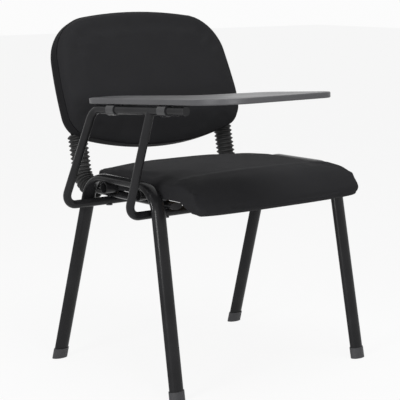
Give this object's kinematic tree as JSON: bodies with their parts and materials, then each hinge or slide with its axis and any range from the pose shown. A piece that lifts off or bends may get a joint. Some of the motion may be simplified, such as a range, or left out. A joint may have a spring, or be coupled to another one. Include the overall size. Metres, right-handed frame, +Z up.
{
  "type": "conference chair with writing tablet",
  "caption": "Stacking chair with padded seat and back, bent tube legs, ribbed sleeves on the back uprights and a writing tablet that flips up on the right arm.",
  "frame": {"origin": "on the floor, at the middle of the whole chair's bounding box", "axes": "+Z up, -Y towards the front of the seat, -X towards the sitter's right, where the tablet is"},
  "size_m": [0.6223, 0.7159, 0.7864],
  "materials": {
    "black_paint": "gloss black powder coat",
    "foot_plastic": "dark grey moulded plastic",
    "plug_plastic": "black moulded plastic",
    "clip_plastic": "black moulded plastic",
    "shell_plastic": "semi-gloss black moulded plastic",
    "bellows_rubber": "matt black",
    "plywood": "plain moulded plywood",
    "black_fabric": "plain woven upholstery",
    "dark_steel": "blackened steel",
    "tablet_plastic": "fine-grained dark grey moulded plastic"
  },
  "bodies": {
    "chair": {"arm_bolts": "dark_steel", "arm_nuts": "dark_steel", "arm_plug_front": "plug_plastic", "arm_plug_rear": "plug_plastic", "arm_plug_top": "plug_plastic", "arm_post": "black_paint", "arm_tube": "black_paint", "back_board": "plywood", "back_bolts": "dark_steel", "back_cushion": "black_fabric", "back_inserts": "dark_steel", "back_shell": "shell_plastic", "back_upright_left": "black_paint", "back_upright_right": "black_paint", "bellows_left": "bellows_rubber", "bellows_right": "bellows_rubber", "cross_tube_front": "black_paint", "cross_tube_rear": "black_paint", "foot_cap_front_left": "foot_plastic", "foot_cap_front_right": "foot_plastic", "foot_cap_rear_left": "foot_plastic", "foot_cap_rear_right": "foot_plastic", "seat_board": "plywood", "seat_bolts": "dark_steel", "seat_cushion": "black_fabric", "seat_inserts": "dark_steel", "side_frame_left": "black_paint", "side_frame_right": "black_paint", "tablet_stop_front": "black_paint", "tablet_stop_rear": "black_paint", "upright_plug_left": "plug_plastic", "upright_plug_right": "plug_plastic"},
    "tablet": {"tablet": "tablet_plastic", "hinge_clip_rear": "clip_plastic", "hinge_clip_front": "clip_plastic", "tablet_screws": "dark_steel"}
  },
  "joints": [
    {"name": "tablet_hinge", "type": "hinge", "parent": "chair", "child": "tablet", "pos_m": [-0.264, 0.07429, 0.589], "axis": [0, -0.998, 0.0628], "range_deg": [0, 96]}
  ]
}
